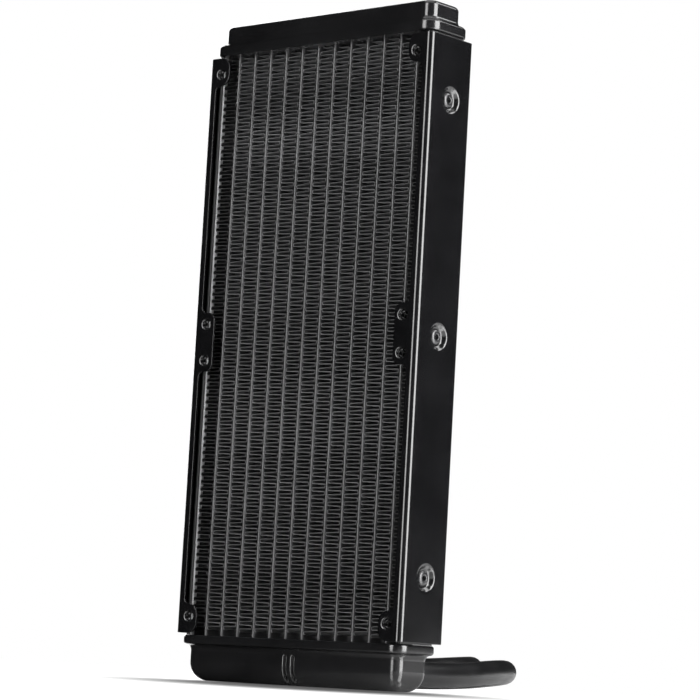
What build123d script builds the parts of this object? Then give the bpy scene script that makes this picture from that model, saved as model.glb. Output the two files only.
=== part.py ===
from build123d import *
import math
import os

# Liquid cooling radiator for two 120 mm fans, with its two hoses.
# Millimetres, +Z up, front towards -Y. The radiator stands on its bottom tank: the origin is the centre
# of that tank's flat lower face. One STEP file per piece goes into parts/.

# ---- overall and fan pattern ----
WIDTH = 119.0            # over both side channels, along X
DEPTH = 27.0             # over the channel flanges, along Y
Z_MID = 138.3            # middle of the fan pattern above the rest face
FAN_PITCH = 105.0        # hole to hole on one 120 mm fan, both ways
FAN_STEP = 120.0         # from one fan's centre to the next
FAN_HOLE_R = 1.75        # 6-32 thread, major diameter
FAN_COLLAR_R = 2.5
FAN_COLLAR_LENGTH = 3.0
FAN_FLARE_R = 0.45

# ---- side channels ----
CHANNEL_LENGTH = 238.6
SHEET = 1.0
BEND_R = 2.4             # outside radius of the fold
STRIP_EDGE_X = 55.4      # inner edge of the narrow flange
LOBE_EDGE_X = 48.2       # inner edge of the lobes that carry the fan holes
END_LOBE_Z = 107.5       # where an end lobe starts, from the middle
MID_LOBE_Z = 12.2        # half the height of the middle lobe
END_LOBE_R = 4.6
MID_LOBE_R = 3.6
STRIP_NOTCH_R = 2.3      # inside corner between lobe and strip

# ---- dimples and blind rivets in the channel webs ----
RIVET_Z = (-94.2, 0.0, 94.2)
RIVET_Y = 0.4
DIMPLE_RIM_R = 5.2
DIMPLE_FLOOR_R = 3.7
DIMPLE_RIM_W = 1.3       # flat ring round the cup, let into the web
DIMPLE_BEND_R = 0.6
DIMPLE_WALL_STEP = 0.4   # the cup's inner side is this much narrower
RIVET_HEAD_R = 3.1
RIVET_HEAD_H = 1.0
RIVET_SHANK_R = 1.6
RIVET_BORE_R = 1.1
RIVET_TAIL_R = 2.3
RIVET_TAIL_H = 1.5
RIVET_TOP_W = 0.6        # flat ring round the bore, on top of the head
RIVET_EDGE_H = 0.2       # upright edge of the head
RIVET_SHOULDER_W, RIVET_SHOULDER_H = 0.5, 0.7
RIVET_PLUG_LENGTH = 0.4  # solid end of the bore, within the shank
TAIL_CLEAR = 0.3         # between a rivet's tail and the fins

# ---- core ----
TUBE_COUNT = 12
TUBE_PITCH = 8.72
TUBE_THICK = 1.5
TUBE_DEPTH = 16.2
TUBE_WALL = 0.3
TUBE_REACH = 2.5         # how far a tube end stands into its tank
FIN_PERIOD = 3.0
FIN_PERIODS = 79
FIN_SHEET = 0.12
FIN_CREST = 0.5          # flat of each fold, brazed to the tube
FIN_DEPTH = 15.4
FIN_CLEAR = 0.04
CORE_PLATE_DEPTH = 19.2
CORE_PLATE_GAP = 0.1

# ---- tanks, each made with its mouth at z = 0 and its crown up ----
WALL = 1.2
FOOT_X, FOOT_Y, FOOT_CORNER_R = 117.4, 25.3, 6.2
BODY_X, BODY_Y = 112.0, 19.6
FOOT_FILLET_R = 2.4      # hollow fillet between foot and body
FOOT_RIM_R = 0.25
BOTTOM_MOUTH_Z = 18.3
BOTTOM_FOOT_H, BOTTOM_H = 3.7, 18.3
BOTTOM_CORNER_R, BOTTOM_EDGE_R = 6.2, 5.8
TOP_MOUTH_Z = 258.8
TOP_FOOT_H, TOP_H = 4.5, 13.0
TOP_CORNER_R, TOP_EDGE_R = 4.5, 2.0
HEADER_THICK = 1.2
HEADER_CLEAR = 0.02
BEAD_X = 2.1             # the two pressed beads each side of the flow partition
BEAD_R = 1.3
BEAD_AXIS_OUT = 0.6      # bead axis outside the wall face
BEAD_INNER_R = 2.2
BEAD_LOW, BEAD_HIGH = 2.6, 10.8
PARTITION_THICK = 1.6

# ---- ports on the back of the bottom tank ----
PORT_X = 15.0
PORT_Z = 7.0
BOSS_R = 6.0
BOSS_FACE_Y = 12.6
BOSS_ROOT = 4.0          # how far a boss stands into the wall
BOSS_BORE_R = 4.2
SHANK_CLEAR = 0.05
SHANK_LENGTH = 4.6
SHOULDER_R = 5.75
SHOULDER_LENGTH = 3.4
BARB_LENGTH = 16.0
BARB_BORE_R = 2.3
BARB_COUNT = 4
BARB_CLEAR = 0.02        # the widest ring of a barb to the hose's bore
BARB_DROP = 0.35
O_RING_R = 4.85          # middle of its section
O_RING_SECTION_R = 0.48
O_RING_GROOVE = 1.0

# ---- hoses ----
HOSE_R = 5.2
HOSE_BORE_R = 3.3
FERRULE_R = 5.95
FERRULE_LENGTH = 12.0
FERRULE_CLEAR = 0.03
FERRULE_EDGE = 0.3
SPIGOT_R = 4.3
SPIGOT_LENGTH = 9.0
SPIGOT_GROOVE_Y = 3.0    # from the collar
SPIGOT_GROOVE_W = 1.6
SPIGOT_GROOVE_D = 0.9
SPIGOT_RING_SECTION_R = 0.44  # as squeezed by the port, so level with the spigot's surface
SPIGOT_RING_LIFT = 0.02  # keeps the ring just off its groove's floor
SPIGOT_CHAMFER = 0.6
FERRULE_SET_BACK = 0.6

# ---- fill plug in the top tank's crown ----
PLUG_X = -36.0
PLUG_R = 4.0
PLUG_HEAD_R = 5.2
PLUG_HEAD_H = 1.1
PLUG_LENGTH = 5.0
PLUG_SINK = 0.2          # head below the crown's face
PLUG_SEAL_H = 0.4
PLUG_KEY = 4.0
PLUG_KEY_DEPTH = 2.6
PLUG_BOSS_R = 6.8

# ---- worked out from the above ----
HALF_W, HALF_D = WIDTH / 2, DEPTH / 2
FIN_GAP = TUBE_PITCH - TUBE_THICK
CORE_EDGE_X = (TUBE_COUNT / 2) * TUBE_PITCH + FIN_GAP / 2
CORE_PLATE_X = CORE_EDGE_X + SHEET
DIMPLE_DEPTH = HALF_W - SHEET - CORE_PLATE_X
HOSE_START_Y = BOSS_FACE_Y + SHOULDER_LENGTH
EPS = 0.01               # how near a measured place has to be to count as the same
OVERCUT = 3.0            # how far a cutter stands out past the face it opens

# Hose routes, from the shoulder of the fitting to the pump end. The hoses are stiff: they leave level,
# rise a few millimetres, then bend round behind the radiator and lie down.
OUTLET_ROUTE = [
    (15.0, HOSE_START_Y, PORT_Z), (15.0, 47.0, PORT_Z), (12.5, 82.0, 7.6), (3.0, 117.0, 10.0),
    (-13.0, 151.0, 10.8), (-43.0, 179.0, 9.2), (-80.0, 200.0, 6.9), (-120.0, 203.0, 5.6),
    (-152.0, 184.0, 6.1)]
INLET_ROUTE = [
    (-15.0, HOSE_START_Y, PORT_Z), (-15.0, 47.0, PORT_Z), (-16.2, 92.0, 8.9), (-19.4, 131.0, 11.4),
    (-42.5, 162.5, 11.6), (-77.0, 181.0, 8.4), (-114.0, 180.0, 5.9), (-142.0, 160.0, 5.5),
    (-154.0, 128.0, 6.1)]
RADIUS_SHARE = 0.45      # an arc takes this share of its shorter run


def save(name, solids):
    """One node: a single solid, or several identical ones together."""
    shape = solids[0] if len(solids) == 1 else Compound(label=name, children=solids)
    shape.label = name
    export_step(shape, f"parts/{name}.step")


def solid(shape):
    """The one solid of a shape that booleans may have wrapped."""
    found = shape.solids()
    assert len(found) == 1, len(found)
    return found[0]


def rounded_block(size_x, size_y, height, corner_r):
    sketch = RectangleRounded(size_x, size_y, corner_r)
    return extrude(sketch, height)


def turned(points):
    """A solid of revolution about Y from (radius, y) points."""
    return solid(revolve(make_face(Polyline(points, close=True)), Axis.Y))


# ---- tanks ----
def tank_outside(foot_h, height, corner_r, edge_r):
    """Foot and body of a tank: a hollow fillet between them, and a small one round the foot's rim."""
    foot = rounded_block(FOOT_X, FOOT_Y, foot_h, FOOT_CORNER_R)
    body = rounded_block(BODY_X, BODY_Y, height, corner_r)
    body = fillet(body.faces().sort_by(Axis.Z)[-1].edges(), edge_r)
    shell = foot + body

    def ledge_edges():
        return [e for e in shell.edges()
                if abs(e.center().Z - foot_h) < EPS and e.bounding_box().size.Z < EPS]
    shell = fillet([e for e in ledge_edges() if abs(e.center().X) < BODY_X / 2 + EPS
                    and abs(e.center().Y) < BODY_Y / 2 + EPS], FOOT_FILLET_R)
    return fillet([e for e in ledge_edges() if abs(e.center().X) > FOOT_X / 2 - FOOT_CORNER_R / 2
                   or abs(e.center().Y) > FOOT_Y / 2 - 5 * EPS], FOOT_RIM_R)


def tank_inside(foot_h, height, corner_r, edge_r):
    foot = rounded_block(FOOT_X - 2 * WALL, FOOT_Y - 2 * WALL, foot_h - WALL, FOOT_CORNER_R - WALL)
    body = rounded_block(BODY_X - 2 * WALL, BODY_Y - 2 * WALL, height - WALL, corner_r - WALL)
    body = fillet(body.faces().sort_by(Axis.Z)[-1].edges(), edge_r - WALL)
    return foot + body


def bead(side_x, side_y, radius, low, high):
    """A vertical round-ended rod that forms a pressed bead in the bottom tank's wall."""
    y = side_y * (BODY_Y / 2 + BEAD_AXIS_OUT)
    rod = Pos(side_x * BEAD_X, y, low) * extrude(Circle(radius), high - low)
    for z in (low, high):
        rod += Pos(side_x * BEAD_X, y, z) * Sphere(radius)
    return rod


def along_y(x, y, z, radius, length):
    return Pos(x, y, z) * Rot(-90, 0, 0) * extrude(Circle(radius), length)


def bottom_tank_pieces():
    size = (BOTTOM_FOOT_H, BOTTOM_H, BOTTOM_CORNER_R, BOTTOM_EDGE_R)
    flip = Pos(0, 0, BOTTOM_MOUTH_Z) * Rot(180, 0, 0)
    outside, inside = flip * tank_outside(*size), flip * tank_inside(*size)
    sides = [(sx, sy) for sx in (-1, 1) for sy in (-1, 1)]
    cavity = inside
    for sx, sy in sides:
        cavity -= bead(sx, sy, BEAD_INNER_R, BEAD_LOW, BEAD_HIGH)
    for x in (-PORT_X, PORT_X):
        outside += along_y(x, BODY_Y / 2 - BOSS_ROOT, PORT_Z, BOSS_R, BOSS_FACE_Y - BODY_Y / 2 + BOSS_ROOT)
    tank = outside - cavity
    for sx, sy in sides:
        tank -= bead(sx, sy, BEAD_R, BEAD_LOW, BEAD_HIGH)
    for x in (-PORT_X, PORT_X):
        tank -= along_y(x, BODY_Y / 2 - BOSS_ROOT, PORT_Z, BOSS_BORE_R, BOSS_FACE_Y)
    plate_low = BOTTOM_MOUTH_Z - HEADER_THICK
    partition = cavity & Pos(0, 0, plate_low / 2) * Box(PARTITION_THICK, DEPTH, plate_low)
    return solid(tank), solid(partition)


def top_tank_piece():
    size = (TOP_FOOT_H, TOP_H, TOP_CORNER_R, TOP_EDGE_R)
    place = Pos(0, 0, TOP_MOUTH_Z)
    crown = TOP_MOUTH_Z + TOP_H
    boss_low = crown - PLUG_SINK - PLUG_LENGTH - WALL
    tank = place * tank_outside(*size) - place * tank_inside(*size)
    tank += Pos(PLUG_X, 0, boss_low) * extrude(Circle(PLUG_BOSS_R), crown - WALL / 2 - boss_low)
    seat = crown - PLUG_SINK - PLUG_HEAD_H - PLUG_SEAL_H
    tank -= Pos(PLUG_X, 0, seat) * extrude(Circle(PLUG_HEAD_R + SHANK_CLEAR), OVERCUT)
    tank -= Pos(PLUG_X, 0, boss_low + WALL) * extrude(Circle(PLUG_R + SHANK_CLEAR), PLUG_LENGTH)
    return solid(tank)


def fill_plug_pieces():
    crown = TOP_MOUTH_Z + TOP_H
    top = crown - PLUG_SINK
    seat = top - PLUG_HEAD_H
    plug = Pos(PLUG_X, 0, seat) * extrude(Circle(PLUG_HEAD_R), PLUG_HEAD_H)
    plug += Pos(PLUG_X, 0, top - PLUG_LENGTH) * extrude(Circle(PLUG_R), PLUG_LENGTH - PLUG_HEAD_H)
    key = extrude(RegularPolygon(PLUG_KEY / 2, 6, major_radius=False), PLUG_KEY_DEPTH + OVERCUT)
    plug -= Pos(PLUG_X, 0, top - PLUG_KEY_DEPTH) * key
    ring = Circle(PLUG_HEAD_R) - Circle(PLUG_R + SHANK_CLEAR)
    seal = Pos(PLUG_X, 0, seat - PLUG_SEAL_H) * extrude(ring, PLUG_SEAL_H)
    return solid(plug), solid(seal)


# ---- core ----
def tube_positions():
    return [(i - (TUBE_COUNT - 1) / 2) * TUBE_PITCH for i in range(TUBE_COUNT)]


def tube_outline(grow=0.0):
    return SlotOverall(TUBE_DEPTH + 2 * grow, TUBE_THICK + 2 * grow, rotation=90)


def flat_tube(x):
    low = BOTTOM_MOUTH_Z - HEADER_THICK - TUBE_REACH
    high = TOP_MOUTH_Z + HEADER_THICK + TUBE_REACH
    return solid(Pos(x, 0, low) * extrude(tube_outline() - tube_outline(-TUBE_WALL), high - low))


def header_plate(z):
    inset = WALL + HEADER_CLEAR
    plate = rounded_block(FOOT_X - 2 * inset, FOOT_Y - 2 * inset, HEADER_THICK, FOOT_CORNER_R - inset)
    for x in tube_positions():
        plate -= Pos(x, 0, 0) * extrude(tube_outline(HEADER_CLEAR), HEADER_THICK)
    return solid(Pos(0, 0, z) * plate)


def fin_strip(x):
    """A folded strip: its folds touch the tubes, its walls run nearly level between them."""
    reach = FIN_GAP / 2 - FIN_CLEAR
    t, c = FIN_SHEET, FIN_CREST
    right, left = [], []
    for i in range(FIN_PERIODS):
        z = i * FIN_PERIOD
        z2 = z + FIN_PERIOD / 2
        left += [(-reach, z - t / 2), (-reach, z + c + t / 2),
                 (reach - t, z2 + t / 2), (reach - t, z2 + c - t / 2)]
        right += [(-reach + t, z + t / 2), (-reach + t, z + c - t / 2),
                  (reach, z2 - t / 2), (reach, z2 + c + t / 2)]
    face = make_face(Polyline(left + right[::-1], close=True))
    strip = Rot(90, 0, 0) * extrude(face, FIN_DEPTH)
    length = strip.bounding_box().size.Z
    middle = (BOTTOM_MOUTH_Z + TOP_MOUTH_Z) / 2
    strip = Pos(x, FIN_DEPTH / 2, middle - length / 2) * strip
    if abs(x) + FIN_GAP > CORE_EDGE_X:
        side = math.copysign(1, x)
        for z in RIVET_Z:
            pocket = extrude(Circle(RIVET_TAIL_R + TAIL_CLEAR), RIVET_TAIL_H + TAIL_CLEAR)
            strip -= Pos(side * CORE_EDGE_X, RIVET_Y, Z_MID + z) * Rot(0, -90 * side, 0) * pocket
    return solid(strip)


def core_plate(side):
    low, high = BOTTOM_MOUTH_Z + CORE_PLATE_GAP, TOP_MOUTH_Z - CORE_PLATE_GAP
    x = side * (CORE_EDGE_X + SHEET / 2)
    plate = Pos(x, 0, (low + high) / 2) * Box(SHEET, CORE_PLATE_DEPTH, high - low)
    for z in RIVET_Z:
        hole = Cylinder(RIVET_SHANK_R + SHANK_CLEAR, SHEET + OVERCUT)
        plate -= Pos(x, RIVET_Y, Z_MID + z) * Rot(0, 90, 0) * hole
    return solid(plate)


# ---- side channels ----
def flange_outline():
    """Half of the strip and lobes as seen from the front, in X and Z about the fan pattern's middle."""
    half = CHANNEL_LENGTH / 2
    corners = [(HALF_W, half), (LOBE_EDGE_X, half), (LOBE_EDGE_X, END_LOBE_Z), (STRIP_EDGE_X, END_LOBE_Z),
               (STRIP_EDGE_X, MID_LOBE_Z), (LOBE_EDGE_X, MID_LOBE_Z)]
    points = corners + [(x, -z) for x, z in reversed(corners)]
    face = make_face(Polyline(points, close=True))

    def at(x, z):
        return [v for v in face.vertices() if abs(v.X - x) < EPS and abs(abs(v.Y) - z) < EPS]
    face = fillet(at(LOBE_EDGE_X, MID_LOBE_Z), MID_LOBE_R)
    face = fillet(at(STRIP_EDGE_X, MID_LOBE_Z) + at(STRIP_EDGE_X, END_LOBE_Z), STRIP_NOTCH_R)
    return fillet(at(LOBE_EDGE_X, END_LOBE_Z) + at(LOBE_EDGE_X, half), END_LOBE_R)


def dimple():
    """The pressed cup round one rivet, turned about Y with its mouth at y = 0."""
    d, s, rim = DIMPLE_DEPTH, SHEET, DIMPLE_RIM_R + DIMPLE_RIM_W
    hole, step = RIVET_SHANK_R + SHANK_CLEAR, DIMPLE_WALL_STEP
    sketch = make_face(Polyline([
        (hole, -d), (DIMPLE_FLOOR_R, -d), (DIMPLE_RIM_R, 0), (rim, 0), (rim, -s),
        (DIMPLE_RIM_R - step, -s), (DIMPLE_FLOOR_R - step, -d - s), (hole, -d - s)], close=True))
    bends = [v for v in sketch.vertices()
             if (abs(v.X - DIMPLE_RIM_R) < EPS and abs(v.Y) < EPS)
             or (abs(v.X - DIMPLE_FLOOR_R) < EPS and abs(v.Y + d) < EPS)]
    return revolve(fillet(bends, DIMPLE_BEND_R), Axis.Y)


def onto_side(side, z, shape):
    """Puts a shape turned about Y, mouth towards +Y, onto the outer face of one channel's web."""
    return Pos(side * HALF_W, RIVET_Y, Z_MID + z) * Rot(0, 0, -90 * side) * shape


def right_channel():
    """A folded sheet: its C section, cut to the outline of strip and lobes, with dimples and fan holes."""
    reach = HALF_W - LOBE_EDGE_X
    section = Pos(HALF_W - reach / 2, 0) * Rectangle(reach, DEPTH)
    section = fillet([v for v in section.vertices() if v.X > HALF_W - EPS], BEND_R)
    hollow = Pos(HALF_W - SHEET - reach / 2, 0) * Rectangle(reach, DEPTH - 2 * SHEET)
    hollow = fillet([v for v in hollow.vertices() if v.X > HALF_W - SHEET - EPS], BEND_R - SHEET)
    channel = Pos(0, 0, Z_MID - CHANNEL_LENGTH / 2) * extrude(section - hollow, CHANNEL_LENGTH)
    outline = extrude(flange_outline(), DEPTH + 2 * OVERCUT)
    channel &= Pos(0, HALF_D + OVERCUT, Z_MID) * Rot(90, 0, 0) * outline
    rim = DIMPLE_RIM_R + DIMPLE_RIM_W
    for z in RIVET_Z:
        channel -= onto_side(1, z, along_y(0, -SHEET - OVERCUT, 0, rim, SHEET + 2 * OVERCUT))
        channel += onto_side(1, z, dimple())
    for side in (-1, 1):
        for centre in (-FAN_STEP / 2, FAN_STEP / 2):
            for step in (-FAN_PITCH / 2, FAN_PITCH / 2):
                z = Z_MID + centre + step
                start = -HALF_D if side < 0 else HALF_D - FAN_COLLAR_LENGTH
                channel += along_y(FAN_PITCH / 2, start, z, FAN_COLLAR_R, FAN_COLLAR_LENGTH)
                bore = FAN_COLLAR_LENGTH + 2 * OVERCUT
                channel -= along_y(FAN_PITCH / 2, start - OVERCUT, z, FAN_HOLE_R, bore)
    flare_edges = [e for e in channel.edges() if e.geom_type == GeomType.CIRCLE
                   and abs(e.radius - FAN_HOLE_R) < EPS and abs(abs(e.center().Y) - HALF_D) < EPS]
    return solid(fillet(flare_edges, FAN_FLARE_R))


def rivets(side):
    """Blind rivets: dome head in the dimple, shank through the channel and the core plate."""
    head, tail = -DIMPLE_DEPTH, -(HALF_W - CORE_EDGE_X)
    bore_end, top = tail - RIVET_PLUG_LENGTH, head + RIVET_HEAD_H
    profile = [(RIVET_BORE_R, bore_end), (RIVET_BORE_R, top), (RIVET_BORE_R + RIVET_TOP_W, top),
               (RIVET_HEAD_R - RIVET_SHOULDER_W, head + RIVET_SHOULDER_H),
               (RIVET_HEAD_R, head + RIVET_EDGE_H), (RIVET_HEAD_R, head), (RIVET_SHANK_R, head),
               (RIVET_SHANK_R, tail), (RIVET_TAIL_R, tail), (RIVET_TAIL_R, tail - RIVET_TAIL_H),
               (0, tail - RIVET_TAIL_H), (0, bore_end)]
    return [onto_side(side, z, turned(profile)) for z in RIVET_Z]


# ---- fittings, hoses and what is on them ----
def barbed_tube(length):
    """(radius, y) points of the outside of a barbed tube from y = 0, widest towards its root."""
    points, step = [], length / BARB_COUNT
    for i in range(BARB_COUNT):
        points += [(HOSE_BORE_R - BARB_CLEAR, i * step), (HOSE_BORE_R - BARB_DROP, (i + 1) * step)]
    return points


def port_fitting(x):
    shank = BOSS_BORE_R - SHANK_CLEAR
    groove_low, groove_high = O_RING_R - O_RING_GROOVE / 2, O_RING_R + O_RING_GROOVE / 2
    face, end = BOSS_FACE_Y, HOSE_START_Y
    groove_end = face + O_RING_GROOVE
    outside = [(shank, face - SHANK_LENGTH), (shank, face), (groove_low, face), (groove_low, groove_end),
               (groove_high, groove_end), (groove_high, face), (SHOULDER_R, face), (SHOULDER_R, end)]
    outside += [(r, end + y) for r, y in barbed_tube(BARB_LENGTH)]
    points = [(BARB_BORE_R, face - SHANK_LENGTH)] + outside + [(BARB_BORE_R, end + BARB_LENGTH)]
    return Pos(x, 0, PORT_Z) * turned(points)


def hose_path(route):
    """Straight runs joined by tangent arcs, with the arcs as large as their runs allow."""
    points = [Vector(*p) for p in route]
    radii = []
    for a, b, c in zip(points, points[1:], points[2:]):
        turn = math.radians((b - a).get_angle(c - b))
        shorter = min((b - a).length, (c - b).length)
        radii.append(RADIUS_SHARE * shorter / math.tan(turn / 2))
    return FilletPolyline(*points, radius=radii), radii


def hose(name, route):
    path, radii = hose_path(route)
    ring = Circle(HOSE_R) - Circle(HOSE_BORE_R)
    tube = sweep(Plane(origin=path @ 0, z_dir=path % 0) * ring, path=path)
    wanted = ring.area * path.length
    print(f"{name}: length {path.length:.1f}, volume {tube.volume / wanted:.4f} of section x length, "
          f"radii {[round(r) for r in radii]}")
    return solid(tube)


def ferrule_sleeve():
    bore, end, edge = HOSE_R + FERRULE_CLEAR, FERRULE_LENGTH, FERRULE_EDGE
    return turned([(bore, 0), (FERRULE_R - edge, 0), (FERRULE_R, edge), (FERRULE_R, end - edge),
                   (FERRULE_R - edge, end), (bore, end)])


def pump_connector():
    """Barb from y = -BARB_LENGTH to 0 inside the hose, collar, then the spigot for the pump's port."""
    barbs = [(r, -y) for r, y in reversed(barbed_tube(BARB_LENGTH))]
    face, end = SHOULDER_LENGTH, SHOULDER_LENGTH + SPIGOT_LENGTH
    low = face + SPIGOT_GROOVE_Y
    high = low + SPIGOT_GROOVE_W
    points = [(BARB_BORE_R, -BARB_LENGTH)] + barbs + [
        (SHOULDER_R, 0), (SHOULDER_R, face), (SPIGOT_R, face), (SPIGOT_R, low),
        (SPIGOT_R - SPIGOT_GROOVE_D, low), (SPIGOT_R - SPIGOT_GROOVE_D, high), (SPIGOT_R, high),
        (SPIGOT_R, end - SPIGOT_CHAMFER), (SPIGOT_R - SPIGOT_CHAMFER, end), (BARB_BORE_R, end)]
    return turned(points)


def hose_set(name, route, x):
    """The hose with its radiator fitting, and with the connector for the pump on its far end."""
    near_end = Pos(x, HOSE_START_Y, PORT_Z)
    ferrule = ferrule_sleeve()
    ring = Rot(90, 0, 0) * Torus(O_RING_R, O_RING_SECTION_R)
    save(f"{name}_fitting", [port_fitting(x)])
    save(f"{name}_o_ring", [solid(Pos(x, BOSS_FACE_Y + O_RING_GROOVE / 2, PORT_Z) * ring)])
    save(f"{name}_ferrule", [solid(near_end * Pos(0, FERRULE_SET_BACK, 0) * ferrule)])
    save(f"{name}_hose", [hose(name, route)])

    end = Vector(*route[-1])
    along = (end - Vector(*route[-2])).normalized()
    across = along.cross(Vector(0, 0, 1))
    far_end = Plane(origin=end, x_dir=across, z_dir=across.cross(along))
    back = FERRULE_LENGTH + FERRULE_SET_BACK
    ring_y = SHOULDER_LENGTH + SPIGOT_GROOVE_Y + SPIGOT_GROOVE_W / 2
    ring_r = SPIGOT_R - SPIGOT_GROOVE_D + SPIGOT_RING_SECTION_R + SPIGOT_RING_LIFT
    ring = Rot(90, 0, 0) * Torus(ring_r, SPIGOT_RING_SECTION_R)
    save(f"{name}_pump_connector", [solid(far_end * pump_connector())])
    save(f"{name}_pump_ferrule", [solid(far_end * Pos(0, -back, 0) * ferrule)])
    save(f"{name}_pump_o_ring", [solid(far_end * Pos(0, ring_y, 0) * ring)])


os.makedirs("parts", exist_ok=True)

bottom_tank, flow_partition = bottom_tank_pieces()
save("bottom_tank", [bottom_tank])
save("flow_partition", [flow_partition])
save("top_tank", [top_tank_piece()])
fill_plug, fill_plug_seal = fill_plug_pieces()
save("fill_plug", [fill_plug])
save("fill_plug_seal", [fill_plug_seal])
save("bottom_header_plate", [header_plate(BOTTOM_MOUTH_Z - HEADER_THICK)])
save("top_header_plate", [header_plate(TOP_MOUTH_Z)])

for number, tube_x in enumerate(tube_positions(), 1):
    save(f"flat_tube_{number:02d}", [flat_tube(tube_x)])
for number in range(1, TUBE_COUNT + 2):
    save(f"fin_strip_{number:02d}", [fin_strip((number - 1 - TUBE_COUNT / 2) * TUBE_PITCH)])

channel_right = right_channel()
save("right_side_channel", [channel_right])
save("left_side_channel", [solid(mirror(channel_right, Plane.YZ))])
for side_name, side_sign in (("left", -1), ("right", 1)):
    save(f"{side_name}_core_plate", [core_plate(side_sign)])
    save(f"{side_name}_channel_rivets", rivets(side_sign))

hose_set("outlet", OUTLET_ROUTE, PORT_X)
hose_set("inlet", INLET_ROUTE, -PORT_X)
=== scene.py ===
import math
import random

import bmesh
import bpy
from mathutils import Matrix, Vector


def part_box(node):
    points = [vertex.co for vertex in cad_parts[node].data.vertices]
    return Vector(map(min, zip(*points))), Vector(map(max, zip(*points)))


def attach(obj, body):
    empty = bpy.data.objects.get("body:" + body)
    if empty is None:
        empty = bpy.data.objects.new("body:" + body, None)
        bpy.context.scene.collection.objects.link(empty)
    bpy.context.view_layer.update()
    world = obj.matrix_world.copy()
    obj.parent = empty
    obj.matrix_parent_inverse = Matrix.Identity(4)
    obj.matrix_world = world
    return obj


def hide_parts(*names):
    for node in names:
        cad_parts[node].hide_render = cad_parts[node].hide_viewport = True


# The looks of a liquid cooling radiator, built round its CAD frame. Sizes are in millimetres, as on the
# CAD part, unless a comment says otherwise, and Builder.mesh() turns them into metres.
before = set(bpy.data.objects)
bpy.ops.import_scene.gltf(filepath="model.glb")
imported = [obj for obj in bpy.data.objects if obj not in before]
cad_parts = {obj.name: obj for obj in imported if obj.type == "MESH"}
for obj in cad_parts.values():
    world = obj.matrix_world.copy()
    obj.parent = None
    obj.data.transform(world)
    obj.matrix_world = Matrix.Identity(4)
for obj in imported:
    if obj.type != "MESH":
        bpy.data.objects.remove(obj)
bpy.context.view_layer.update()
MM = 0.001


def node_mm(node):
    """A CAD node's lowest and highest corners, in millimetres."""
    low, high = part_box(node)
    return low / MM, high / MM


# ---- driving sizes, read from the frame ----
channel_low, channel_high = node_mm("right_side_channel")
foot_high = node_mm("bottom_tank")[1]
top_low, top_high = node_mm("top_tank")
fin_low, fin_high = node_mm("fin_strip_07")
tube_low, tube_high = node_mm("flat_tube_07")
plate_low, plate_high = node_mm("right_core_plate")

HALF_W, HALF_D = channel_high.x, channel_high.y
Z_MID = (channel_low.z + channel_high.z) / 2
HALF_LENGTH = (channel_high.z - channel_low.z) / 2
SHEET = 1.0            # thickness of the side channels
TUBE_COUNT = 12


# ---- mesh helpers ----
class Builder:
    """Collects vertices, in millimetres, and faces, then becomes one mesh."""

    def __init__(self):
        self.verts, self.faces = [], []

    def ring(self, points):
        """Adds points and gives back their indices."""
        start = len(self.verts)
        self.verts += [Vector(p) for p in points]
        return list(range(start, start + len(points)))

    def join(self, a, b, closed=True):
        """Faces between two rings of equal length, without repeated corners."""
        count = len(a)
        for i in range(count if closed else count - 1):
            j = (i + 1) % count
            quad = list(dict.fromkeys([a[i], a[j], b[j], b[i]]))
            if len(quad) > 2:
                self.faces.append(quad)

    def loft(self, rings, closed=True):
        for a, b in zip(rings, rings[1:]):
            self.join(a, b, closed)

    def cap(self, ring):
        self.faces.append(list(ring))

    def mesh(self, name, sharp=40.0):
        """The mesh in metres, smooth except at edges sharper than an angle in degrees."""
        mesh = bpy.data.meshes.new(name)
        mesh.from_pydata([v * MM for v in self.verts], [], self.faces)
        bm = bmesh.new()
        bm.from_mesh(mesh)
        bmesh.ops.remove_doubles(bm, verts=bm.verts, dist=1e-6)
        bmesh.ops.recalc_face_normals(bm, faces=bm.faces)
        bm.to_mesh(mesh)
        bm.free()
        mesh.shade_smooth()
        mesh.set_sharp_from_angle(angle=math.radians(sharp))
        return mesh


def show(name, mesh, material, node, weighted=False):
    """Puts a mesh into the scene as the piece that stands for a CAD node."""
    obj = bpy.data.objects.new(name, mesh)
    bpy.context.scene.collection.objects.link(obj)
    if not mesh.materials:
        mesh.materials.append(material)
    if weighted:
        modifier = obj.modifiers.new("flat_faces_first", "WEIGHTED_NORMAL")
        modifier.keep_sharp = True
    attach(obj, "root")
    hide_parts(node)
    return obj


def lathe(builder, profile, origin, axis, steps):
    """Turns (radius, height) points about an axis; a radius of 0 closes the end."""
    axis = Vector(axis).normalized()
    side = axis.orthogonal().normalized()
    other = axis.cross(side)
    rings = []
    for radius, height in profile:
        centre = Vector(origin) + axis * height
        if radius < 1e-6:
            rings.append(builder.ring([centre]) * steps)
        else:
            rings.append(builder.ring([centre + (side * math.cos(t) + other * math.sin(t)) * radius
                                       for t in (2 * math.pi * i / steps for i in range(steps))]))
    builder.loft(rings)
    return rings


def arc(cx, cy, r, a0, a1, steps):
    """Points on a circle from angle a0 to a1, in degrees, both ends included."""
    return [(cx + r * math.cos(math.radians(a0 + (a1 - a0) * i / steps)),
             cy + r * math.sin(math.radians(a0 + (a1 - a0) * i / steps))) for i in range(steps + 1)]


# ---- materials ----
NOISE_LOW, NOISE_HIGH = 0.3, 0.7       # the part of the slow noise that is used


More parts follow.
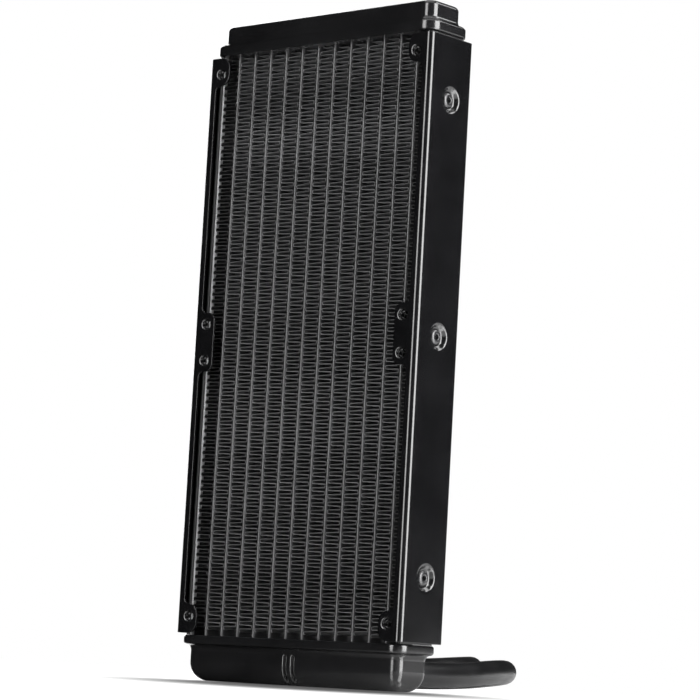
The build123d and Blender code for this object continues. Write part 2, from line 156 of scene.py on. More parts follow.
def surface(name, colour, roughness, rough_spread, colour_spread=0.25, metallic=0.0, *, grain, bump,
            cloud=60.0, specular=0.5):
    """A principled surface whose colour and roughness drift slowly, with a fine grain in its relief.
    The noises' scales, cloud and grain, are per metre; bump is the relief's depth in millimetres."""
    mat = bpy.data.materials.new(name)
    mat.use_nodes = True
    nodes, links = mat.node_tree.nodes, mat.node_tree.links
    shader = nodes["Principled BSDF"]
    shader.inputs["Metallic"].default_value = metallic
    shader.inputs["Specular IOR Level"].default_value = specular
    place = nodes.new("ShaderNodeTexCoord")
    slow = nodes.new("ShaderNodeTexNoise")
    slow.inputs["Scale"].default_value = cloud
    slow.inputs["Detail"].default_value = 4.0
    fine = nodes.new("ShaderNodeTexNoise")
    fine.inputs["Scale"].default_value = grain
    fine.inputs["Detail"].default_value = 2.0
    shade = nodes.new("ShaderNodeValToRGB")
    dark = [c * (1 - colour_spread) for c in colour]
    light = [c * (1 + colour_spread) for c in colour]
    for element, position, tone in zip(shade.color_ramp.elements, (NOISE_LOW, NOISE_HIGH), (dark, light)):
        element.position = position
        element.color = (*tone, 1)
    gloss = nodes.new("ShaderNodeMapRange")
    gloss.inputs["From Min"].default_value = NOISE_LOW
    gloss.inputs["From Max"].default_value = NOISE_HIGH
    gloss.inputs["To Min"].default_value = roughness - rough_spread
    gloss.inputs["To Max"].default_value = roughness + rough_spread
    relief = nodes.new("ShaderNodeBump")
    relief.inputs["Strength"].default_value = 1.0
    relief.inputs["Distance"].default_value = bump * MM
    links.new(place.outputs["Object"], slow.inputs["Vector"])
    links.new(place.outputs["Object"], fine.inputs["Vector"])
    links.new(slow.outputs["Fac"], shade.inputs["Fac"])
    links.new(slow.outputs["Fac"], gloss.inputs["Value"])
    links.new(fine.outputs["Fac"], relief.inputs["Height"])
    links.new(shade.outputs["Color"], shader.inputs["Base Color"])
    links.new(gloss.outputs["Result"], shader.inputs["Roughness"])
    links.new(relief.outputs["Normal"], shader.inputs["Normal"])
    return mat


paint = surface(
    "black_paint", (0.0032, 0.0032, 0.0035), 0.14, 0.02, grain=1400, bump=0.0004)
tank_paint = surface(
    "tank_black_paint", (0.0052, 0.0052, 0.0055), 0.17, 0.03, grain=1100, bump=0.0007)
fin_paint = surface(
    "core_black_fins", (0.1, 0.1, 0.102), 0.48, 0.06, 0.3, grain=2600, bump=0.004)
# a darker copy of the fin paint: painted shade on the outermost fin strips, and the core plates' own black
# paint
fin_shade_and_plate_paint = surface(
    "core_black_fin_shade_and_plate", (0.025, 0.025, 0.0255), 0.5, 0.06, 0.3, grain=2600, bump=0.004)
tube_paint = surface(
    "core_black_tubes", (0.04, 0.04, 0.041), 0.24, 0.06, 0.4, grain=2200, bump=0.006)
# bright aluminium for the core plates' inner band: partly bare metal, partly a painted highlight
plate_highlight_metal = surface(
    "core_plate_bare_highlight", (0.8, 0.8, 0.81), 0.5, 0.06, 0.12, 0.7, grain=1800, bump=0.004)
rivet_paint = surface(
    "black_rivet", (0.012, 0.012, 0.013), 0.24, 0.04, grain=2000, bump=0.002)
bare_metal = surface(
    "bare_aluminium", (0.55, 0.56, 0.58), 0.38, 0.08, 0.1, 1.0, grain=2400, bump=0.004)
fitting_metal = surface(
    "black_anodised", (0.02, 0.02, 0.022), 0.3, 0.05, 0.2, 0.6, grain=3200, bump=0.001)
hose_rubber = surface(
    "hose_rubber", (0.0025, 0.0025, 0.0028), 0.38, 0.05, 0.3, grain=1600, bump=0.004, specular=0.35)
seal_rubber = surface(
    "seal_rubber", (0.012, 0.012, 0.012), 0.6, 0.08, 0.3, grain=2400, bump=0.006)

# ---- camera ----
CAMERA_PLACE = (768.68, -872.54, 4.0)
HEADING, PITCH, ROLL = math.radians(40.83), math.radians(6.46), math.radians(3.17)
camera_data = bpy.data.cameras.new("camera")
camera_data.sensor_width = 36.0
camera_data.lens = 149.11
camera_data.clip_start, camera_data.clip_end = 0.05, 60.0     # metres
camera = bpy.data.objects.new("camera", camera_data)
bpy.context.scene.collection.objects.link(camera)
bpy.context.scene.camera = camera
camera.matrix_world = (Matrix.Translation(Vector(CAMERA_PLACE) * MM)
                       @ Matrix.Rotation(HEADING, 4, "Z") @ Matrix.Rotation(math.pi / 2 + PITCH, 4, "X")
                       @ Matrix.Rotation(ROLL, 4, "Z"))

# ---- hoses ----
HOSE_D = 10.4
FERRULE_START = 0.6                    # from the hose's end at the tank to its ferrule
FERRULE_BACK = 12.6                    # from the hose's end at the pump back to its ferrule's start
ROUND_STEPS = 48                       # points round a turned fitting, boss or seat
# control points of the hoses' NURBS centrelines, from the tank on
OUTLET_ROUTE = [
    (15.0, 16.0, 7.0), (15.0, 47.0, 7.0), (12.5, 82.0, 7.6), (3.0, 117.0, 10.0),
    (-13.0, 151.0, 10.8), (-43.0, 179.0, 9.2), (-80.0, 200.0, 6.9), (-120.0, 203.0, 5.6),
    (-152.0, 184.0, 6.1)]
INLET_ROUTE = [
    (-15.0, 16.0, 7.0), (-15.0, 47.0, 7.0), (-16.2, 92.0, 8.9), (-19.4, 131.0, 11.4),
    (-42.5, 162.5, 11.6), (-77.0, 181.0, 8.4), (-114.0, 180.0, 5.9), (-142.0, 160.0, 5.5),
    (-154.0, 128.0, 6.1)]
# (radius, height) along a fitting's axis
FERRULE = [(5.25, 0.0), (5.65, 0.0), (5.9, 0.25), (5.95, 0.7), (5.95, 1.8), (5.6, 2.3), (5.6, 3.3),
           (5.95, 3.8), (5.95, 5.0), (5.6, 5.5), (5.6, 6.5), (5.95, 7.0), (5.95, 8.2), (5.6, 8.7),
           (5.6, 9.7), (5.95, 10.2), (5.95, 11.3), (5.9, 11.75), (5.65, 12.0), (5.25, 12.0)]
CONNECTOR = [(3.1, -1.0), (5.3, 0.0), (5.6, 0.1), (5.75, 0.35), (5.75, 1.2), (5.45, 1.45), (5.45, 1.95),
             (5.75, 2.2), (5.75, 3.05), (5.6, 3.3), (5.3, 3.4), (4.5, 3.4), (4.3, 3.6), (4.3, 6.25),
             (4.15, 6.4), (3.4, 6.4), (3.4, 8.0), (4.15, 8.0), (4.3, 8.15), (4.3, 11.7), (4.15, 12.1),
             (3.7, 12.4), (2.5, 12.4), (2.3, 12.2), (2.3, 3.0), (0.0, 3.0)]


def hose_mesh(name, route):
    """The hose's tube as a mesh, and the points of its NURBS centreline in millimetres."""
    curve = bpy.data.curves.new(name, "CURVE")
    curve.dimensions = "3D"
    curve.resolution_u = 24
    spline = curve.splines.new("NURBS")
    spline.points.add(len(route) - 1)
    for point, place in zip(spline.points, route):
        point.co = (*(Vector(place) * MM), 1.0)
    spline.order_u = 3
    spline.use_endpoint_u = True
    carrier = bpy.data.objects.new(name, curve)
    bare = bpy.data.meshes.new_from_object(carrier)
    line = [v.co / MM for v in bare.vertices]
    bpy.data.meshes.remove(bare)
    curve.bevel_depth = HOSE_D / 2 * MM
    curve.bevel_resolution = 8
    curve.use_fill_caps = True
    tube = bpy.data.meshes.new_from_object(carrier)
    tube.name = name
    tube.shade_smooth()
    tube.set_sharp_from_angle(angle=math.radians(50))
    bpy.data.objects.remove(carrier)
    bpy.data.curves.remove(curve)
    return tube, line


def turned_fitting(node, profile, origin, axis):
    """A black fitting turned about an axis, which stands for a CAD node."""
    builder = Builder()
    lathe(builder, profile, origin, axis, ROUND_STEPS)
    name = f"{node}_looks"
    return show(name, builder.mesh(name), fitting_metal, node)


def hose_set(name, route):
    """A hose, its two crimped ferrules and the connector for the pump."""
    tube, line = hose_mesh(f"{name}_hose_looks", route)
    hose = show(f"{name}_hose_looks", tube, hose_rubber, f"{name}_hose")

    start = line[0] + Vector((0, FERRULE_START, 0))
    near_piece = turned_fitting(f"{name}_ferrule", FERRULE, start, (0, 1, 0))
    outward = (line[-1] - line[-2]).normalized()
    far_piece = turned_fitting(f"{name}_pump_ferrule", FERRULE, line[-1] - outward * FERRULE_BACK, outward)
    end_piece = turned_fitting(f"{name}_pump_connector", CONNECTOR, line[-1], outward)


hose_set("outlet", OUTLET_ROUTE)
hose_set("inlet", INLET_ROUTE)


# ---- end tanks ----
TANK_WALL = 1.2
FOOT_RIM_R, FOOT_FILLET_R = 1.0, 2.4   # the foot flange's edge, and the fillet above it
FOOT_HALF, BODY_HALF = (foot_high.x, 12.65), (56.0, 9.8)
CORNER_R = 6.2                         # the foot's corners, seen from above
CORNER_STEPS, WALL_STEPS, EDGE_STEPS = 8, 16, 12
BOTTOM_FOOT_H, TOP_FOOT_H = 3.7, 4.5
BOTTOM_CORNER_R, TOP_CORNER_R = 4.4, 4.5           # the body's corners, seen from above
BOTTOM_EDGE, TOP_EDGE = (6.0, 7.6), (2.0, 2.0)     # the crown's rounding: how far in, how far down
BOTTOM_CROWN_R, TOP_CROWN_R = 1.2, 2.5             # the corners of the flat crown
PORT_X, PORT_Z, BOSS_FACE_Y = 15.0, 7.0, 12.6
PLUG_X, PLUG_SEAT_R = -36.0, 5.25
# a groove's section: a rounded rim, steepest at the slope, then a rounded floor
GROOVE_X, GROOVE_RIM_R, GROOVE_FLOOR_R, GROOVE_SLOPE = 2.1, 1.3, 0.35, math.radians(73)
GROOVE_HALF_W = (GROOVE_RIM_R + GROOVE_FLOOR_R) * math.sin(GROOVE_SLOPE)
GROOVE_DEPTH = (GROOVE_RIM_R + GROOVE_FLOOR_R) * (1 - math.cos(GROOVE_SLOPE))
GROOVE_TOP_GAP, GROOVE_BOTTOM_GAP = 0.9, 1.8       # from a groove to the fillet, and to the crown
GROOVE_STOP = 0.08                     # pitch of the extra points across a groove
# where the long sides have points between their corners
SIDE_STOPS = sorted({-40, -20, 20, 40} | {side * (GROOVE_X + i * GROOVE_STOP)
                                          for side in (-1, 1) for i in range(-20, 21)})


def rounded_rectangle(half_x, half_y, r, z):
    """A ring of points: rounded corners, and the stops along the front and back sides."""
    points = []
    for sx, sy, a0 in ((1, 1, 0), (-1, 1, 90), (-1, -1, 180), (1, -1, 270)):
        cx, cy = sx * (half_x - r), sy * (half_y - r)
        points += [(x, y, z) for x, y in arc(cx, cy, r, a0, a0 + 90, CORNER_STEPS)]
        if (sx, sy) == (1, 1):
            points += [(x, half_y, z) for x in reversed(SIDE_STOPS)]
        if (sx, sy) == (-1, -1):
            points += [(x, -half_y, z) for x in SIDE_STOPS]
    return points


def tank(body_r, edge, crown_r, foot_h, height, place, grooves):
    """One tank with its mouth at height 0 and its crown at height, put into the frame by place().
    Gives back the builder and the ring round the flat crown, which is left open."""
    # From inside the mouth round the foot's edge and up to the crown:
    # (which outline, inset from it, height, tilt of the surface from upright)
    profile = []
    fillet_r, rim, wall = FOOT_FILLET_R, FOOT_RIM_R, TANK_WALL
    for inset, h in ((wall, 3.0), (wall, 0.05), (wall - 0.02, 0.0), (rim, 0.0)):
        profile.append(("foot", inset, h, 0.0))
    for x, y in arc(rim, rim, rim, 270, 180, 6)[1:]:
        profile.append(("foot", x, y, 0.0))
    for x, y in arc(rim, foot_h - rim, rim, 180, 90, 6):
        profile.append(("foot", x, y, 0.0))
    for x, y in arc(-fillet_r, foot_h + fillet_r, fillet_r, 270, 360, 8):
        profile.append(("body", x, y, 0.0))
    low = foot_h + fillet_r
    wall_top = height - edge[1]
    for i in range(1, WALL_STEPS + 1):
        profile.append(("body", 0.0, low + (wall_top - low) * i / WALL_STEPS, 0.0))
    for i in range(1, EDGE_STEPS + 1):
        t = math.pi / 2 * i / EDGE_STEPS
        profile.append(("body", edge[0] * (1 - math.cos(t)), height - edge[1] * (1 - math.sin(t)), t))

    builder = Builder()
    rings = []
    for kind, inset, h, tilt in profile:
        half, r = (FOOT_HALF, CORNER_R) if kind == "foot" else (BODY_HALF, body_r)
        share = 1 - math.cos(tilt)
        corner = (r - inset) if tilt == 0 else r * (1 - share) + crown_r * share
        points = rounded_rectangle(half[0] - inset, half[1] - inset, max(corner, 0.2), h)
        if grooves and kind == "body":
            points = [pressed(p, h, tilt, low, height) for p in points]
        rings.append(builder.ring([place(p) for p in points]))
    builder.loft(rings)
    builder.cap(rings[0])
    return builder, rings[-1]


def pressed(point, h, tilt, low, height):
    """Moves a point of the bottom tank's wall in where one of the two short grooves is pressed."""
    x, y, z = point
    across = abs(abs(x) - GROOVE_X)
    top, bottom = low + GROOVE_TOP_GAP, height - GROOVE_BOTTOM_GAP
    beyond = max(top - h, h - bottom, 0.0)
    from_middle = math.hypot(across, beyond)
    from_rim = GROOVE_HALF_W - from_middle
    if from_rim <= 0:
        return point
    if from_middle < GROOVE_FLOOR_R * math.sin(GROOVE_SLOPE):
        depth = GROOVE_DEPTH - GROOVE_FLOOR_R + math.sqrt(GROOVE_FLOOR_R ** 2 - from_middle ** 2)
    else:
        depth = GROOVE_RIM_R - math.sqrt(GROOVE_RIM_R ** 2 - from_rim ** 2)
    return x, y - math.copysign(depth * math.cos(tilt), y), z - depth * math.sin(tilt)


def bottom_tank():
    """The inlet and outlet chamber, crown down, with its two port bosses at the back."""
    height = foot_high.z
    builder, last = tank(BOTTOM_CORNER_R, BOTTOM_EDGE, BOTTOM_CROWN_R, BOTTOM_FOOT_H, height,
                         lambda p: (p[0], -p[1], height - p[2]), True)
    builder.cap(last)
    face = BOSS_FACE_Y
    boss = [(7.0, 9.0), (7.0, 9.8), (6.35, 10.1), (6.05, 10.6), (6.0, 11.2), (6.0, face - 0.4),
            (5.9, face - 0.1), (5.7, face), (4.3, face), (4.2, face - 0.1), (4.2, 9.0)]
    for x in (-PORT_X, PORT_X):
        rings = lathe(builder, boss, (x, 0, PORT_Z), (0, 1, 0), ROUND_STEPS)
        builder.join(rings[-1], rings[0])
    return builder


def top_tank():
    """The return chamber, with the fill plug's seat in its crown."""
    base = top_low.z
    height = top_high.z - top_low.z
    builder, last = tank(TOP_CORNER_R, TOP_EDGE, TOP_CROWN_R, TOP_FOOT_H, height,
                         lambda p: (p[0], p[1], base + p[2]), False)
    profile = [(PLUG_SEAT_R + 0.35, 0.0), (PLUG_SEAT_R + 0.1, -0.1), (PLUG_SEAT_R, -0.35),
               (PLUG_SEAT_R, -2.2), (0.0, -2.2)]
    seat = lathe(builder, profile, (PLUG_X, 0, top_high.z), (0, 0, 1), ROUND_STEPS)
    crown_round_hole(builder, last, seat[0])
    return builder


def crown_round_hole(builder, outer, hole):
    """Fills the flat crown between the tank's last ring and the plug's seat with four faces."""
    def y(i):
        return builder.verts[i].y

    def by_x(indices):
        return sorted(indices, key=lambda i: builder.verts[i].x)
    back_outer, front_outer = [i for i in outer if y(i) > 0], [i for i in outer if y(i) < 0]
    back_hole, front_hole = by_x(i for i in hole if y(i) >= 0), by_x(i for i in hole if y(i) < 0)
    builder.faces.append(back_outer + back_hole)
    builder.faces.append(front_outer + front_hole[::-1])
    builder.faces.append([back_outer[-1], front_outer[0], front_hole[0], back_hole[0]])
    builder.faces.append([front_outer[-1], back_outer[0], back_hole[-1], front_hole[-1]])


for node_name, builder in (("bottom_tank", bottom_tank()), ("top_tank", top_tank())):
    name = f"{node_name}_looks"
    show(name, builder.mesh(name), tank_paint, node_name, weighted=True)


# ---- side channels ----
BEND_R = 2.4
STRIP_EDGE_X, LOBE_EDGE_X = 55.4, 48.2
END_LOBE_Z, MID_LOBE_Z = 107.5, 12.2
END_LOBE_R, MID_LOBE_R, NOTCH_R = 4.6, 3.6, 2.3
EDGE_R = 0.16                      # rounding of the sheet's cut edges
# z of the holes, rivets and rows is about the radiator's middle
FAN_HOLE_X, FAN_HOLE_Z = 52.5, (-112.5, -7.5, 7.5, 112.5)
RIVET_Y, RIVET_Z = 0.4, (-94.2, 0.0, 94.2)
HOLE_BLOCK, DIMPLE_BLOCK = 3.1, 6.4    # half the side of the square cut for a hole or a dimple
HOLE_STEPS, DIMPLE_STEPS, BEND_STEPS, SWEEP_STEPS = 8, 12, 10, 8
BEND_LENGTH, WEB_WIDTH = BEND_R * math.pi / 2, 2 * (HALF_D - BEND_R)
BEND_X, BEND_Y = HALF_W - BEND_R, HALF_D - BEND_R  # the bends' axes
EDGE_ANGLES = (30, 60, 90)             # round the outer half of a cut edge
# (radius, depth below the outer face): the flared and threaded wall, the collar's outside, the inner face
HOLE_PROFILE = [(2.95, 0.0), (2.75, 0.04), (2.5, 0.14), (2.25, 0.32), (2.0, 0.6), (1.85, 0.95),
                (1.78, 1.15), (1.5, 1.35), (1.78, 1.55), (1.78, 1.75), (1.5, 1.95), (1.78, 2.15),
                (1.78, 2.35), (1.5, 2.6), (1.75, 2.9), (1.9, 3.0), (2.4, 3.0), (2.5, 2.9), (2.5, 1.3),
                (2.7, 1.1), (2.95, SHEET)]
# the same for a dimple: its dished wall, flat floor and rivet hole, then the inner face
DIMPLE_PROFILE = [(5.95, 0.0), (5.6, 0.03), (5.3, 0.12), (5.05, 0.28), (4.8, 0.5), (4.4, 0.87),
                  (4.1, 1.14), (3.85, 1.36), (3.6, 1.5), (3.3, 1.56), (2.9, 1.57), (1.7, 1.57),
                  (1.7, 2.57), (3.0, 2.57), (3.3, 2.5), (3.6, 2.3), (4.6, 1.3), (4.9, 1.08),
                  (5.3, SHEET), (5.95, SHEET)]


def spread(middle, half, steps):
    """Evenly spaced values from middle - half to middle + half."""
    return [middle - half + 2 * half * i / steps for i in range(steps + 1)]


def outline_rows():
    """The cut edge of a flange from the middle up: (x, z, normal x, normal z)."""
    rows = [(LOBE_EDGE_X, z, -1.0, 0.0) for z in (0.0, 2.2)]

    def sweep(cx, cz, r, a0, a1, outside):
        sign = 1.0 if outside else -1.0
        for i in range(SWEEP_STEPS + 1):
            a = math.radians(a0 + (a1 - a0) * i / SWEEP_STEPS)
            c, s = math.cos(a), math.sin(a)
            rows.append((cx + r * c, cz + r * s, sign * c, sign * s))
    sweep(LOBE_EDGE_X + MID_LOBE_R, MID_LOBE_Z - MID_LOBE_R, MID_LOBE_R, 180, 90, True)
    sweep(STRIP_EDGE_X - NOTCH_R, MID_LOBE_Z + NOTCH_R, NOTCH_R, -90, 0, False)
    rows += [(STRIP_EDGE_X, z, -1.0, 0.0) for z in range(20, 105, 6)]
    sweep(STRIP_EDGE_X - NOTCH_R, END_LOBE_Z - NOTCH_R, NOTCH_R, 0, 90, False)
    sweep(LOBE_EDGE_X + END_LOBE_R, END_LOBE_Z + END_LOBE_R, END_LOBE_R, -90, -180, True)
    sweep(LOBE_EDGE_X + END_LOBE_R, HALF_LENGTH - END_LOBE_R, END_LOBE_R, 180, 90, True)
    return rows


def edge_at(rows, z):
    """The cut edge's x and normal at a height between two rows."""
    for a, b in zip(rows, rows[1:]):
        if a[1] <= z <= b[1] and b[1] - a[1] > 1e-6:
            t = (z - a[1]) / (b[1] - a[1])
            return a[0] + (b[0] - a[0]) * t, a[2] + (b[2] - a[2]) * t, a[3] + (b[3] - a[3]) * t
    return rows[-1][0], rows[-1][2], rows[-1][3]


def channel_rows():
    """Every row of the sheet's grid, from the lowest to the highest."""
    rows = outline_rows()
    extra = []
    for z in FAN_HOLE_Z[2:]:
        extra += spread(z, HOLE_BLOCK, HOLE_STEPS)
    for z in RIVET_Z[1:]:
        extra += spread(z, DIMPLE_BLOCK, DIMPLE_STEPS)
    upper = list(rows)
    for z in extra:
        if z > 0 and min(abs(z - r[1]) for r in upper) > 0.02:
            x, nx, nz = edge_at(rows, z)
            size = math.hypot(nx, nz)
            upper.append((x, z, nx / size, nz / size))
    upper.sort(key=lambda r: r[1])
    lower = [(x, -z, nx, -nz) for x, z, nx, nz in reversed(upper) if z > 1e-6]
    return lower + upper


def fold(u, z, depth):
    """Places a point of the flat sheet: u runs from the front bend's start (0) round to the back, and
    is negative on the front flange; depth goes into the sheet from its outer face."""
    r = BEND_R - depth
    if u <= 0:
        return Vector((BEND_X + u, -HALF_D + depth, Z_MID + z))
    if u <= BEND_LENGTH:
        a = u / BEND_R
        return Vector((BEND_X + r * math.sin(a), -BEND_Y - r * math.cos(a), Z_MID + z))
    u -= BEND_LENGTH
    if u <= WEB_WIDTH:
        return Vector((HALF_W - depth, -BEND_Y + u, Z_MID + z))
    u -= WEB_WIDTH
    if u <= BEND_LENGTH:
        a = u / BEND_R
        return Vector((BEND_X + r * math.cos(a), BEND_Y + r * math.sin(a), Z_MID + z))
    return Vector((BEND_X - (u - BEND_LENGTH), HALF_D - depth, Z_MID + z))


def channel_columns(dimple_u):
    """u of the columns from the front bend to the back one, with those of the dimples' squares."""
    columns = [BEND_LENGTH * i / BEND_STEPS for i in range(BEND_STEPS + 1)]
    columns += [BEND_LENGTH + 0.12, BEND_LENGTH + 0.6]
    columns += spread(dimple_u, DIMPLE_BLOCK, DIMPLE_STEPS)
    columns += [BEND_LENGTH + WEB_WIDTH - 0.6, BEND_LENGTH + WEB_WIDTH - 0.12]
    columns += [BEND_LENGTH + WEB_WIDTH + BEND_LENGTH * i / BEND_STEPS for i in range(BEND_STEPS + 1)]
    return sorted(columns)


def side_channel(mirrored):
    """The folded sheet as one closed mesh: outer and inner faces, rounded cut edges, holes and dimples."""
    rows = channel_rows()
    dimple_u = BEND_LENGTH + WEB_WIDTH / 2 + RIVET_Y
    middle_columns = channel_columns(dimple_u)
    end_u = middle_columns[-1]
    hole_u = FAN_HOLE_X - BEND_X
    grid = []      # rows of (u, z)
    for x, z, nx, nz in rows:
        inset_x, inset_z = x - nx * EDGE_R, z - nz * EDGE_R
        if any(abs(z - h) <= HOLE_BLOCK + 1e-6 for h in FAN_HOLE_Z):
            flange_x = spread(FAN_HOLE_X, HOLE_BLOCK, HOLE_STEPS)
        else:
            flange_x = [inset_x + (BEND_X - inset_x) * (0.12 + 0.76 * i / HOLE_STEPS)
                        for i in range(HOLE_STEPS + 1)]
        front = [(inset_x - BEND_X, inset_z)] + [(v - BEND_X, inset_z) for v in flange_x]
        front += [(-0.12, inset_z)]
        back = [(end_u - u, v) for u, v in reversed(front)]
        grid.append(front + [(u, inset_z) for u in middle_columns] + back)
    grid[0] = [(u, -HALF_LENGTH + EDGE_R) for u, _ in grid[0]]
    grid[-1] = [(u, HALF_LENGTH - EDGE_R) for u, _ in grid[-1]]

    builder = Builder()

    def put(u, z, depth):
        p = fold(u, z, depth)
        if mirrored:
            p.x = -p.x
        return p
    outer = [builder.ring([put(u, z, 0.0) for u, z in row]) for row in grid]
    inner = [builder.ring([put(u, z, SHEET) for u, z in row]) for row in grid]

    count = len(grid[0])
    blocks = [(u0, z0, HOLE_BLOCK, HOLE_PROFILE) for z0 in FAN_HOLE_Z for u0 in (hole_u, end_u - hole_u)]
    blocks += [(dimple_u, z0, DIMPLE_BLOCK, DIMPLE_PROFILE) for z0 in RIVET_Z]

    def inside(u, z):
        return any(abs(u - u0) < size and abs(z - z0) < size for u0, z0, size, _ in blocks)
    for i in range(len(grid) - 1):
        for j in range(count - 1):
            corners = [(i, j), (i, j + 1), (i + 1, j + 1), (i + 1, j)]
            mid_u = sum(grid[a][b][0] for a, b in corners) / 4
            mid_z = sum(grid[a][b][1] for a, b in corners) / 4
            if not inside(mid_u, mid_z):
                builder.faces.append([outer[a][b] for a, b in corners])
                builder.faces.append([inner[a][b] for a, b in (corners[0], *corners[:0:-1])])

    # The holes and dimples: from their square's border in the outer face down to that in the inner one.
    for u0, z0, size, profile in blocks:
        i_list = [i for i, row in enumerate(grid) if abs(row[len(row) // 2][1] - z0) <= size + 1e-4]
        middle_row = grid[i_list[len(i_list) // 2]]
        j_list = [j for j in range(count) if abs(middle_row[j][0] - u0) <= size + 1e-4]
        walk = [(i_list[0], j) for j in j_list] + [(i, j_list[-1]) for i in i_list[1:]]
        walk += [(i_list[-1], j) for j in reversed(j_list[:-1])]
        walk += [(i, j_list[0]) for i in reversed(i_list[1:-1])]
        angles = [math.atan2(grid[i][j][1] - z0, grid[i][j][0] - u0) for i, j in walk]
        rings = [[outer[i][j] for i, j in walk]]
        for r, depth in profile:
            rings.append(builder.ring([put(u0 + r * math.cos(a), z0 + r * math.sin(a), depth)
                                       for a in angles]))
        rings.append([inner[i][j] for i, j in walk])
        builder.loft(rings)

    # The cut edge: up the front flange, across the top, down the back flange, across the foot.
    loop = [(i, 0, rows[i][2], rows[i][3], False) for i in range(len(rows))]
    loop += [(len(rows) - 1, j, 0.0, 1.0, False) for j in range(1, count)]
    loop += [(i, count - 1, rows[i][2], rows[i][3], True) for i in reversed(range(len(rows) - 1))]
    loop += [(0, j, 0.0, -1.0, False) for j in reversed(range(1, count - 1))]
    band = [[outer[i][j] for i, j, *_ in loop]]
    turns = [(t, False) for t in EDGE_ANGLES] + [(t, True) for t in reversed(EDGE_ANGLES)]
    for t, inward in turns:
        out, down = EDGE_R * math.sin(math.radians(t)), EDGE_R * (1 - math.cos(math.radians(t)))
        depth = SHEET - down if inward else down
        ring = []
        for i, j, nx, nz, on_back in loop:
            u, z = grid[i][j]
            ring.append(put(u + (-nx if on_back else nx) * out, z + nz * out, depth))
        band.append(builder.ring(ring))
    band.append([inner[i][j] for i, j, *_ in loop])
    builder.loft(band)
    return builder


for side_name, mirrored in (("left", True), ("right", False)):
    name = f"{side_name}_side_channel_looks"
    show(name, side_channel(mirrored).mesh(name, sharp=50), paint,
         f"{side_name}_side_channel", weighted=True)

# ---- rivets ----
RIVET_STEPS = 40
HEAD = -1.57           # height of the head's underside, on the dimple's floor, from the channel's face
RIVET_PROFILE = [(0.0, -2.6), (1.05, -2.6), (1.05, HEAD + 0.7), (1.15, HEAD + 0.88), (1.35, HEAD + 0.98),
                 (1.65, HEAD + 1.0), (2.1, HEAD + 0.93), (2.5, HEAD + 0.78), (2.8, HEAD + 0.56),
                 (3.0, HEAD + 0.32), (3.08, HEAD + 0.12), (3.05, HEAD), (1.6, HEAD), (1.6, -3.57),
                 (2.1, -3.57), (2.3, -3.8), (2.25, -4.6), (1.9, -5.0), (0.0, -5.05)]
for side_name, side in (("left", -1), ("right", 1)):
    builder = Builder()
    for z in RIVET_Z:
        lathe(builder, RIVET_PROFILE, (side * HALF_W, RIVET_Y, Z_MID + z), (side, 0, 0), RIVET_STEPS)
    name = f"{side_name}_channel_rivets_looks"
    show(name, builder.mesh(name, sharp=60), rivet_paint, f"{side_name}_channel_rivets")


# ---- core: folded fins ----
FIN_REACH = (fin_high.x - fin_low.x) / 2
FIN_HALF_DEPTH = fin_high.y
FIN_PERIOD, FIN_PERIODS, CREST_R = 3.0, 79, 0.68
FIN_FIRST_Z, FIN_JITTER = 0.5, 0.08    # the first crest's height, and how far crests are off their pitch
CREST_ANGLES = (-88, -60, -30, 0, 30, 60, 88)
# along a flank from crest to crest: how far, and whether the louvres are cut there
FLANK_STOPS = ((0.12, 0.0), (0.17, 1.0), (0.83, 1.0), (0.88, 0.0))
LOUVRES, LOUVRE_LIFT = 9, 0.24
LOUVRE_MARGIN = 0.8    # from the strip's cut edge to its first or last louvre
LOUVRE_SLIT = 0.02     # half of the slit between two louvres
FIN_HEM = 0.13         # half the width of the painted cut edge
FIN_STAGGER = 0.25     # step in height between neighbouring strips


def fin_hem(builder, line, columns, row, y):
    """Three lines along one cut edge of the fin: its two corners, with the sheet's middle between."""
    below, above = [], []
    for k in range(len(line)):
        (x0, z0, _), (x1, z1, _) = line[max(k - 1, 0)], line[min(k + 1, len(line) - 1)]
        length = math.hypot(x1 - x0, z1 - z0)
        nx, nz = -(z1 - z0) / length, (x1 - x0) / length
        x, z, _ = line[k]
        below.append((x - nx * FIN_HEM, y, z - nz * FIN_HEM))
        above.append((x + nx * FIN_HEM, y, z + nz * FIN_HEM))
    return [builder.ring(below), [column[row] for column in columns], builder.ring(above)]


